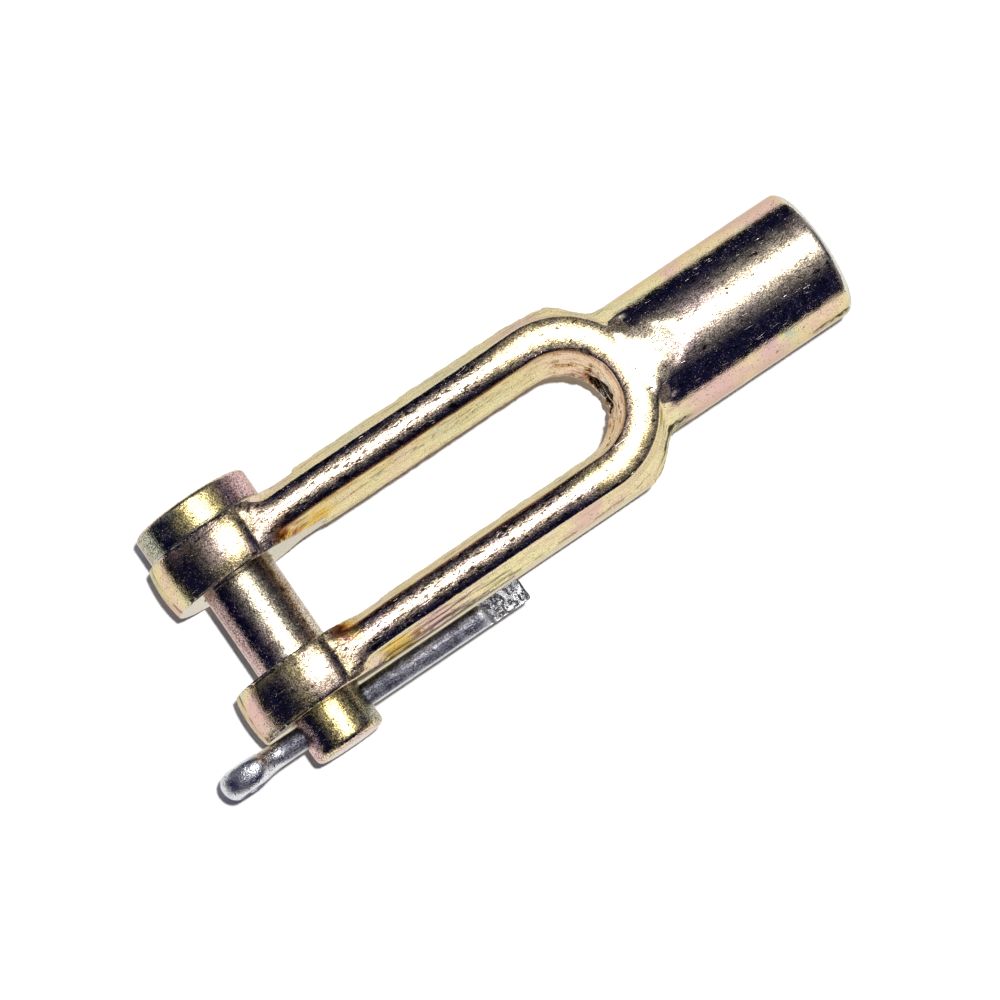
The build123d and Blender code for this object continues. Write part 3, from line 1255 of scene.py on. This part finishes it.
def buildCotter(values):
    flat = values["flatGap"]
    across = values["across"]
    neck = values["neckRadius"]
    eyeX = values["eyeFarEnd"] + values["eyeRadius"] + values["wireRadius"]
    reach = values["eyeRadius"] + neck
    neckX = eyeX + math.sqrt(reach**2 - (flat + neck) ** 2)
    lean = math.degrees(math.asin((neckX - eyeX) / reach))
    rounding = values["endRounding"]

    # a half-round section at the short leg's end
    start = (values["shortEnd"], across, flat)
    piece = addDisc(start, values["wireRadius"], (90, 0, 90), values["vertices"])
    piece.name = "cotterWire"
    place, normal = readPoints(piece)
    place[:, 2] = np.maximum(place[:, 2], flat)
    movePoints(piece, place)
    openMesh(piece)
    size = rounding[0][1]
    middle = (0, across * mm, (flat + 0.3) * mm)
    bpy.ops.transform.resize(value=(1, size, size), center_override=middle)
    for back, wide in rounding[1:]:
        pushEnd((-back, 0, 0), (1, wide / size, wide / size), (0, across, flat + 0.3))
        size = wide

    # short leg, neck, eye, neck, long leg
    length = sum(back for back, wide in rounding)
    pushAlong(values["shortEnd"] - length, neckX, values["legStep"])
    spinEnd((neckX, across, flat + neck), lean, 14)
    spinEnd((eyeX, across, 0), -180 - 2 * lean, 48)
    spinEnd((neckX, across, -flat - neck), lean, 14)
    pushAlong(neckX, values["hammeredFrom"], values["legStep"])
    pushAlong(values["hammeredFrom"], values["longEnd"] - length, values["hammeredStep"])
    for index in range(len(rounding) - 1, 0, -1):
        back, wide = rounding[index][0], rounding[index - 1][1]
        pushEnd((back, 0, 0), (1, wide / size, wide / size), (0, across, -flat - 0.3))
        size = wide
    closeMesh()
    fixNormals(piece)

    # the eye is pressed flat, the wire a little uneven, and the long leg's inside hammered
    place, normal = readPoints(piece)
    x, y, z = place.T
    eye = fall(x, -8.2, -5.6)
    outer, inner = values["eyeSpread"]
    side = y - across
    place[:, 1] = across + side * (1 + (np.where(side < 0, outer, inner) - 1) * eye)
    eyeHeight = values["eyeRadius"] + values["wireRadius"]
    place[:, 0] += values["eyeLean"] * (z / eyeHeight) ** 2 * fall(x, -7.8, -4.6)
    depth = values["unevenness"] * np.clip(0.5 + wobble(place, 0.8, 3), 0, None)
    depth *= rise(x, -6.0, -3.0)
    hammered = (z < 0) * (normal[:, 2] > 0.7) * rise(x, 14.9, 15.3)
    depth = depth * (1 - (np.abs(normal[:, 2]) > 0.98) * (x < 14.9) * (x > -4))
    marks = 1 - hump(wobble(place, 0.75, 2), 0.18, 0.09)
    depth += values["hammerMarks"] * hammered * marks
    movePoints(piece, place - normal * depth[:, None])
    writeMask(piece, "hammered", hammered * (0.35 + 0.65 * marks))
    # the short leg's end, bare where cut and also painted light as a highlight
    writeMask(piece, "cut", (z > 0) * rise(x, 14.2, 14.5) * (x < 14.85))
    smoothAbove(piece, 40)
    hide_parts("cotter_pin")
    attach(piece, "cotter_pin")
    print("cotter shaped:", len(piece.data.polygons), "faces")
    return piece


cotter = buildCotter(cotterValues)

cotterFinish = {
    "fineness": 7000.0,
    "pits": 1.0,
    "bump": 0.07 * mm,
    "roughness": (0.40, 0.50),
    "eyeShine": 0.22,
    "eye": (0.80, 0.80, 0.82),
    "edge": (0.8, 0.8, 0.8),
    "zinc": (0.36, 0.36, 0.40),
    "dull": (0.24, 0.24, 0.29),
    "hammered": (0.52, 0.52, 0.53),
    "dark": (0.05, 0.05, 0.06),
    "bare": (0.72, 0.72, 0.72),
}


def finishCotter(piece, values):
    material, tree, place, grain, wear = startFinish("dullZincWire", values)
    scratch = useGroup(tree, scratchGroup, Position=place, Amount=0.8)["Mask"]
    patches = addNoise(tree, place, 900.0, 3.0, 0.4)
    drawn = addNoise(tree, addMapping(tree, place, scale=(0.05, 1.0, 1.0)), 6500.0, 3.0)
    dulled = addRange(tree, plus(tree, patches, multiply(tree, drawn, 0.35)), 0.56, 0.82)
    alongX, alongY, _ = newSplit(tree, place)
    eye = addRange(tree, alongX, -6.0 * mm, -4.2 * mm, 1.0, 0.0)
    # painted reflection: a bright line along both sides of the wire, in the eye's colour
    fromMiddle = addMath(tree, "ABSOLUTE", minus(tree, alongY, cotterValues["across"] * mm))
    rubbedWearAndEdgeReflection = addRange(tree, fromMiddle, 0.84 * mm, 0.9 * mm)
    hammered = readMask(tree, "hammered")
    colour = addMix(tree, dulled, values["zinc"], values["dull"])
    speckle = blend(tree, grain["Speckle"], 0.6, 1.5)
    colour = addMix(tree, 1.0, colour, speckle, "MULTIPLY")
    # the eye's bright finish, the short leg's end (partly a painted highlight) and the painted edge
    # reflection all take the eye's colour
    bright = maximum(tree, multiply(tree, eye, 0.85), readMask(tree, "cut"))
    bright = maximum(tree, bright, rubbedWearAndEdgeReflection)
    layers = (
        (hammered, 1.0, values["hammered"]),
        (bright, 1.0, values["eye"]),
        (grain["Pit"], 1.0, values["dark"]),
        # darker in concave hollows
        (wear["Hollow"], 0.6, values["dark"]),
        (wear["Rubbed"], 0.6, values["bare"]),
        (scratch, 0.7, values["bare"]),
    )
    colour = layOver(tree, colour, layers)
    height = plus(tree, grain["Height"], multiply(tree, drawn, 0.3))
    height = multiply(tree, height, blend(tree, eye, 1.0, 0.5))
    rough = blend(tree, dulled, *values["roughness"])
    rough = minus(tree, rough, multiply(tree, hammered, 0.12))
    rough = minus(tree, rough, multiply(tree, eye, values["eyeShine"]))
    addMetal(tree, piece, material, colour, rough, height, values)


finishCotter(cotter, cotterFinish)
print("cotter finished")
